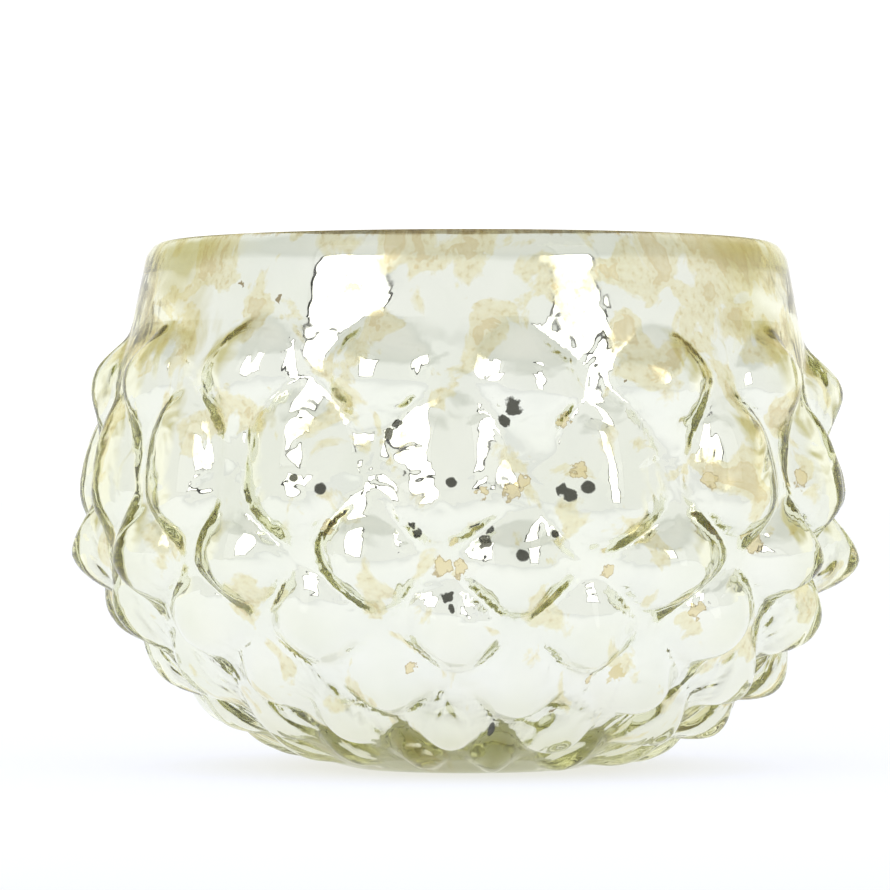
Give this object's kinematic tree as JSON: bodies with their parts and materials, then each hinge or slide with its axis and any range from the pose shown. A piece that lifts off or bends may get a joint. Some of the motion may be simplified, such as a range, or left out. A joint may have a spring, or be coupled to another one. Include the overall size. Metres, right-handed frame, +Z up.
{
  "type": "tealight holder",
  "caption": "Round blown-glass tealight holder with staggered hobnails and an antiqued silver lining, holding a tealight that lifts out.",
  "frame": {"origin": "centre of the foot, on the surface that the holder stands on", "axes": "+Z up along the bowl's axis; the pictured side faces -Y"},
  "size_m": [0.0992, 0.0951, 0.066],
  "materials": {
    "glass": "clear soda glass with a faint yellow-green tint, smooth and wavy from blowing",
    "silver": "antiqued mirror silvering with tan stains and black specks",
    "lacquer": "thin golden-brown backing lacquer",
    "cup_aluminium": "pressed foil, bright with fine flutes",
    "wax": "satin white paraffin wax",
    "tinplate": "thin tinplate",
    "wick_cotton": "waxed braided cotton"
  },
  "bodies": {
    "holder": {"glass_bowl": "glass", "silver_lining": "silver", "lacquer_backing": "lacquer"},
    "tealight": {"tealight_cup": "cup_aluminium", "tealight_wax": "wax", "wick_sustainer": "tinplate", "wick": "wick_cotton"}
  },
  "joints": [
    {"name": "tealight_lift", "type": "slide", "parent": "holder", "child": "tealight", "axis": [0, 0, 1], "range_m": [0, 0.062]}
  ]
}
